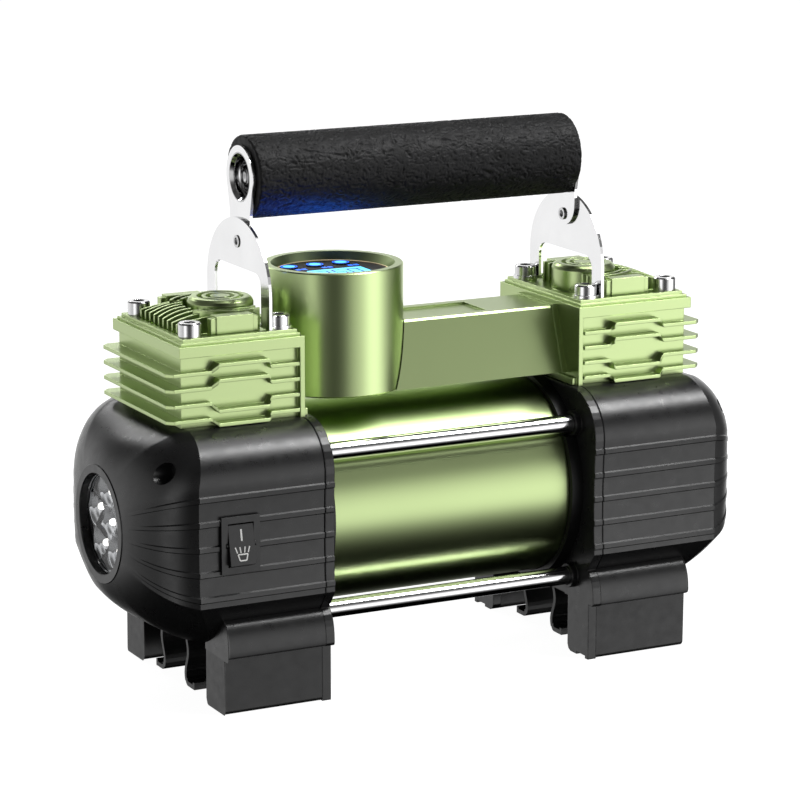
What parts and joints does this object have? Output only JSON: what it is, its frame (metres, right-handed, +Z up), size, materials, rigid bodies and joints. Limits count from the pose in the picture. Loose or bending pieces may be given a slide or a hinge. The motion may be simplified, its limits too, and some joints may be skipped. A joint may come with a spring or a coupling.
{
  "type": "portable air compressor",
  "caption": "Portable twin cylinder air compressor with a domed housing at each end, a bare motor barrel between them, a gauge tower, an end lamp and a folding carry handle.",
  "frame": {"origin": "centre of the footprint on the floor under the feet", "axes": "+X along the motor shaft from the lamp end to the plain end, +Y from the side with the switch to the back, +Z up"},
  "size_m": [0.252, 0.1048, 0.2027],
  "materials": {
    "black_plastic": "satin",
    "foot_plastic": "satin",
    "green_can": "anodised satin",
    "seal_rubber": "matt",
    "magnet": "matt",
    "winding": "lacquered",
    "steel": "ground",
    "brush_board": "matt",
    "pinion_brass": "machined",
    "cast_alloy": "as cast",
    "green_cast": "anodised satin",
    "bright_steel": "polished",
    "foam": "rough foam",
    "green_duct": "anodised satin",
    "display_black": "gloss",
    "screen": "lit",
    "circuit_board": "matt",
    "button_cyan": "lit",
    "lamp_chrome": "mirror",
    "lamp_clear": "clear",
    "led": "gloss",
    "switch_plastic": "satin",
    "outlet_brass": "machined",
    "gland_rubber": "matt"
  },
  "bodies": {
    "base": {"left_housing": "black_plastic", "right_housing": "black_plastic", "left_inner_plate": "black_plastic", "right_inner_plate": "black_plastic", "left_hooks": "black_plastic", "right_hooks": "black_plastic", "foot_front_left": "foot_plastic", "foot_back_left": "foot_plastic", "foot_front_right": "foot_plastic", "foot_back_right": "foot_plastic", "motor_can": "green_can", "left_can_seal": "seal_rubber", "right_can_seal": "seal_rubber", "motor_magnets": "magnet", "brush_plate": "brush_board", "left_bearing": "steel", "right_bearing": "steel", "left_crank_frame": "cast_alloy", "right_crank_frame": "cast_alloy", "left_sleeve": "steel", "right_sleeve": "steel", "left_block": "green_cast", "right_block": "green_cast", "left_head": "green_cast", "right_head": "green_cast", "head_bolts": "bright_steel", "left_bracket": "bright_steel", "right_bracket": "bright_steel", "pivot_pins": "bright_steel", "gauge_tower": "green_duct", "display_panel": "display_black", "display_screen": "screen", "display_board": "circuit_board", "air_bridge": "green_duct", "tie_rods": "bright_steel", "lamp_reflector": "lamp_chrome", "lamp_lens": "lamp_clear", "lamp_leds": "led", "switch_frame": "switch_plastic", "air_outlet": "outlet_brass", "cord_gland": "gland_rubber"},
    "rotor": {"armature": "winding", "commutator": "winding", "motor_shaft": "steel", "left_pinion": "pinion_brass", "right_pinion": "pinion_brass"},
    "left_crank": {"left_gear": "steel"},
    "right_crank": {"right_gear": "steel"},
    "left_piston_set": {"left_con_rod": "cast_alloy", "left_piston": "cast_alloy"},
    "right_piston_set": {"right_con_rod": "cast_alloy", "right_piston": "cast_alloy"},
    "handle": {"left_arm": "bright_steel", "right_arm": "bright_steel", "handle_tube": "bright_steel", "handle_grip": "foam"},
    "rocker": {"switch_rocker": "switch_plastic"},
    "button_left_body": {"button_left": "button_cyan"},
    "button_middle_body": {"button_middle": "button_cyan"},
    "button_right_body": {"button_right": "button_cyan"}
  },
  "joints": [
    {"name": "handle_fold", "type": "hinge", "parent": "base", "child": "handle", "pos_m": [0, 0, 0.164], "axis": [1, 0, 0], "range_deg": [-78, 78]},
    {"name": "rotor_spin", "type": "hinge", "parent": "base", "child": "rotor", "pos_m": [0, 0, 0.0643], "axis": [1, 0, 0], "continuous": true},
    {"name": "left_crank_spin", "type": "hinge", "parent": "base", "child": "left_crank", "pos_m": [-0.069, 0, 0.0443], "axis": [1, 0, 0], "continuous": true},
    {"name": "right_crank_spin", "type": "hinge", "parent": "base", "child": "right_crank", "pos_m": [0.069, 0, 0.0443], "axis": [1, 0, 0], "continuous": true},
    {"name": "left_piston_slide", "type": "slide", "parent": "base", "child": "left_piston_set", "axis": [0, 0, 1], "range_m": [-0.012, 0]},
    {"name": "right_piston_slide", "type": "slide", "parent": "base", "child": "right_piston_set", "axis": [0, 0, 1], "range_m": [-0.012, 0]},
    {"name": "switch_rock", "type": "hinge", "parent": "base", "child": "rocker", "pos_m": [-0.0917, -0.0491, 0.0643], "axis": [1, 0, 0], "range_deg": [0, 21]},
    {"name": "button_left_press", "type": "slide", "parent": "base", "child": "button_left_body", "axis": [0, 0, -1], "range_m": [0, 0.0006], "stiffness_N_per_m": 400},
    {"name": "button_middle_press", "type": "slide", "parent": "base", "child": "button_middle_body", "axis": [0, 0, -1], "range_m": [0, 0.0006], "stiffness_N_per_m": 400},
    {"name": "button_right_press", "type": "slide", "parent": "base", "child": "button_right_body", "axis": [0, 0, -1], "range_m": [0, 0.0006], "stiffness_N_per_m": 400}
  ],
  "couplings": [
    {"joint": "left_crank_spin", "follows": "rotor_spin", "ratio": -0.25},
    {"joint": "right_crank_spin", "follows": "rotor_spin", "ratio": -0.25}
  ]
}
